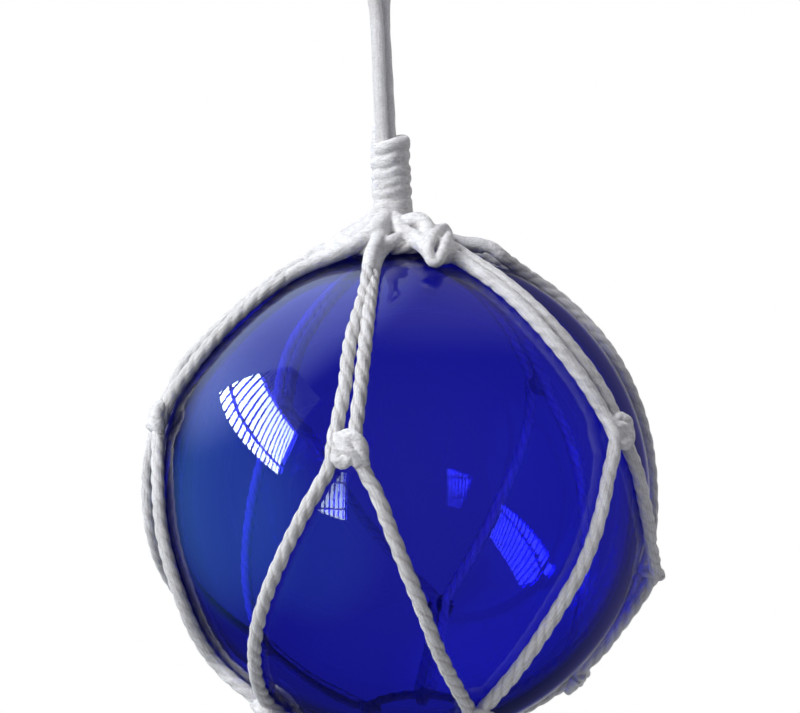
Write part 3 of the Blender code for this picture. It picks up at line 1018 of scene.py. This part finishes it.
def build_neck():
    """The whipping: a cord wound down the neck in slanting turns, with a thick turn on top."""
    wound = NECK_RADIUS - CORD / 2
    route = []
    for i in range(TURN_POINTS * NECK_TURNS + 1):
        turn = i / TURN_POINTS
        angle = math.tau * turn
        slant = NECK_SLANT * max(LEAST_SLANT, 1 - SLANT_LOST * turn / NECK_TURNS)
        x, y = wound * math.cos(angle), wound * math.sin(angle)
        height = NECK_TOP - FIRST_TURN - NECK_PITCH * turn + x * math.tan(slant)
        height += PITCH_CHANGE * math.sin(PITCH_WAVE * turn)
        route.append(CENTRE + Vector((x, y, height)))
    winding = rope("neck_winding", route, seed=1.0, thickness=1.18, tight=0.8, plain=0.3)
    route = [around(azimuth, wound, NECK_TOP - drop * CORD) for azimuth, drop in TOP_TURN]
    route = curve_through(route, ROPE_STEP)
    top_turn = rope("neck_top_turn", route, thickness=1.05, taper=1.5, plain=0.7)
    route = [around(-90, 0.45 * NECK_RADIUS, NECK_TOP + lift * CORD) for lift in NECK_ENTRY]
    route = curve_through(route, ROPE_STEP)
    entry = rope("neck_entry", route, thickness=1.7, taper=0.66, plain=0.7)
    parts = [
        pressed(winding, NECK_RADIUS),
        pressed(top_turn, 1.02 * NECK_RADIUS),
        pressed(entry, 0.98 * NECK_RADIUS),
        cone(NECK_BOTTOM, 0.93 * NECK_RADIUS, NECK_TOP - 0.5 * CORD, 0.9 * NECK_RADIUS),
    ]
    mass = felted("neck_whipping_cord", parts, *NECK_PACKING)
    mass.location.x = NECK_SHIFT
    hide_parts("neck_whipping")


# ---- light and backdrop ----


def build_world():
    """White behind the part for the camera, and a room for what the glass shows and the light."""
    world = bpy.data.worlds.new("studio")
    world.use_nodes = True
    bpy.context.scene.world = world
    nodes = Nodes(world.node_tree)
    background = world.node_tree.nodes["Background"]
    ray = nodes.add("ShaderNodeTexCoord").outputs["Generated"]
    base = nodes.add("ShaderNodeCombineXYZ")
    fill(base, **dict(zip("XYZ", ROOM_BASE)))
    total = base.outputs[0]
    for azimuth, elevation, inner, outer, color in ROOM_GLOWS:
        facing = nodes.add("ShaderNodeVectorMath", operation="DOT_PRODUCT")
        nodes.link(ray, facing.inputs[0])
        facing.inputs[1].default_value = direction(azimuth, elevation)
        fade = nodes.add("ShaderNodeMapRange", interpolation_type="SMOOTHSTEP")
        nodes.link(facing.outputs["Value"], fade.inputs["Value"])
        edges = math.cos(math.radians(outer)), math.cos(math.radians(inner))
        fill(fade, From_Min=edges[0], From_Max=edges[1])
        added = nodes.add("ShaderNodeVectorMath", operation="MULTIPLY_ADD")
        nodes.link(fade.outputs["Result"], added.inputs[0])
        added.inputs[1].default_value = color
        nodes.link(total, added.inputs[2])
        total = added.outputs[0]
    path = nodes.add("ShaderNodeLightPath")
    for kind, color in (("Is Diffuse Ray", DIFFUSE_LIGHT), ("Is Camera Ray", WHITE)):
        mixed = nodes.add("ShaderNodeMix", data_type="VECTOR")
        nodes.link(path.outputs[kind], mixed.inputs["Factor"])
        nodes.link(total, mixed.inputs["A"])
        mixed.inputs["B"].default_value = color
        total = mixed.outputs["Result"]
    nodes.link(total, background.inputs["Color"])


def stripes(nodes, value, spacing, width):
    """1 between bars of that width, which stand that far apart, and 0 on them."""
    place = nodes.math("FRACT", nodes.math("DIVIDE", value, spacing))
    return nodes.math("GREATER_THAN", place, width / spacing)


def make_window_light(name, bars, rails, low, high):
    """Light between upright bars, as (spacing, width), and rails, as (height, width).

    Low and high are (height, strength), between which the light fades. Heights and widths
    are shares of the window's distance.
    """
    material, nodes, shader = new_material(name)
    material.node_tree.nodes.remove(shader)
    split = nodes.add("ShaderNodeSeparateXYZ")
    nodes.link(nodes.add("ShaderNodeUVMap", uv_map="UVMap").outputs["UV"], split.inputs[0])
    u, v = split.outputs["X"], split.outputs["Y"]
    open_part = stripes(nodes, u, *bars)
    for height, width in rails:
        off = nodes.math("ABSOLUTE", nodes.math("SUBTRACT", v, height))
        open_part = nodes.math("MULTIPLY", open_part, nodes.math("GREATER_THAN", off, width / 2))
    fade = nodes.add("ShaderNodeMapRange")
    nodes.link(v, fade.inputs["Value"])
    fill(fade, From_Min=low[0], From_Max=high[0], To_Min=low[1], To_Max=high[1])
    emission = nodes.add("ShaderNodeEmission")
    fill(emission, Color=WINDOW_COLOR)
    lit_part = nodes.math("MAXIMUM", open_part, BAR_LIGHT)
    strength = nodes.math("MULTIPLY", lit_part, fade.outputs["Result"])
    inside = nodes.add("ShaderNodeLightPath").outputs["Is Transmission Ray"]
    gain = nodes.math("ADD", 1.0, nodes.math("MULTIPLY", inside, INSIDE_GAIN))
    nodes.link(nodes.math("MULTIPLY", strength, gain), emission.inputs["Strength"])
    output = material.node_tree.nodes["Material Output"]
    nodes.link(emission.outputs[0], output.inputs["Surface"])
    return material


def build_window(name, facing, distance, corners, **light):
    """A window on a wall that faces the ball, from its corners' (azimuth, elevation)."""
    ahead, beside = direction(facing, 0), direction(facing + 90, 0)
    vertices, uvs = [], []
    for azimuth, elevation in corners:
        off = math.radians(azimuth - facing)
        along, height = math.tan(off), math.tan(math.radians(elevation)) / math.cos(off)
        ray = ahead + along * beside + Vector((0, 0, height))
        vertices.append(tuple(CENTRE + distance * ray))
        uvs.append((along, height))
    mesh = new_mesh(name, vertices, [tuple(range(len(corners)))])
    layer = mesh.uv_layers.new(name="UVMap")
    for loop, uv in zip(layer.data, uvs):
        loop.uv = uv
    mesh.materials.append(make_window_light(name, **light))
    window = add_object(name, mesh)
    window.visible_camera = False
    window.visible_diffuse = False


def add_area(name, azimuth, elevation, distance, side, watts, color=WHITE):
    """A square light that faces the ball and that the glass doesn't show."""
    data = bpy.data.lights.new(name, "AREA")
    data.shape = "SQUARE"
    data.size = side
    data.energy = watts
    data.color = color
    light = add_object(name, data)
    place = on_ball(azimuth, elevation, distance)
    light.location = place
    light.rotation_euler = (place - CENTRE).to_track_quat("Z", "Y").to_euler()
    light.visible_glossy = False
    light.visible_transmission = False
    return light


def all_but(thing):
    """A collection that stands for every piece except this one, for a light to use."""
    left_out = bpy.data.collections.new("left_out")
    left_out.objects.link(thing)
    left_out.collection_objects[0].light_linking.link_state = "EXCLUDE"
    return left_out


def shine_only_on(light, names):
    """Keeps a light to the pieces with these names."""
    lit = bpy.data.collections.new("lit")
    for name in names:
        lit.objects.link(bpy.data.objects[name])
    light.light_linking.receiver_collection = lit


def light_through_glass(ball, names, watts):
    """Light on the cords behind the ball, which the glass lets through without a shadow."""
    light = add_area("through_glass", *THROUGH_GLASS, watts)
    light.light_linking.blocker_collection = all_but(ball)
    shine_only_on(light, names)


def build_floor():
    """A plain pale floor, well below the hanging part."""
    shape = bmesh.new()
    bmesh.ops.create_circle(shape, cap_ends=True, segments=96, radius=FLOOR_RADIUS)
    mesh = mesh_of("floor", shape)
    material, _, shader = new_material("pale_floor")
    fill(shader, Base_Color=(0.72, 0.72, 0.71, 1.0), Roughness=0.9)
    mesh.materials.append(material)
    floor = add_object("floor", mesh)
    floor.location = (0, 0, FLOOR_HEIGHT)
    floor.visible_glossy = False
    floor.visible_transmission = False


add_camera()
cotton = make_cotton("cotton_cord", NET_TONES, NET_SHADE)
lit_cotton = make_cotton("cotton_hanging", HANGING_TONES, HANGING_SHADE)
felt = make_felt()
glass = make_glass()
build_loop()
ball = build_glass()
build_rings()
starts = build_strands()
build_knots()
build_crown(starts)
build_bottom_hitches()
build_neck()

build_floor()
build_world()
build_window(
    "window",
    facing=-113,
    distance=1.6,
    corners=[(-114, 25), (-58, 15), (-56, 32), (-100, 41)],
    bars=(0.095, 0.030),
    rails=[(0.575, 0.032)],
    low=(0.47, 30.0),
    high=(1.1, 19.0),
)
build_window(
    "upper_pane",
    facing=-113,
    distance=1.65,
    corners=[(-100, 41), (-56, 32), (-51, 48), (-86, 52)],
    bars=(0.05, 0.012),
    rails=[],
    low=(0.9, 1.3),
    high=(1.6, 0.4),
)
build_window(
    "small_window",
    facing=-30,
    distance=1.6,
    corners=[(-39, 4), (-25, 0), (-25, 19), (-33, 21)],
    bars=(0.035, 0.012),
    rails=[(0.08, 0.012), (0.27, 0.012)],
    low=(0.0, 13.0),
    high=(0.35, 4.0),
)
lights = {name: add_area(name, *values) for name, values in LIGHTS.items()}
# The hanging cord has its own key: the other would lose its left edge in the background.
cord = bpy.data.objects["hanging_loop_cord"]
lights["key"].light_linking.receiver_collection = all_but(cord)
shine_only_on(lights["cord_key"], [cord.name])
for names, watts in SEEN_THROUGH_GLASS:
    light_through_glass(ball, names, watts)
bpy.context.scene.view_settings.view_transform = "Standard"
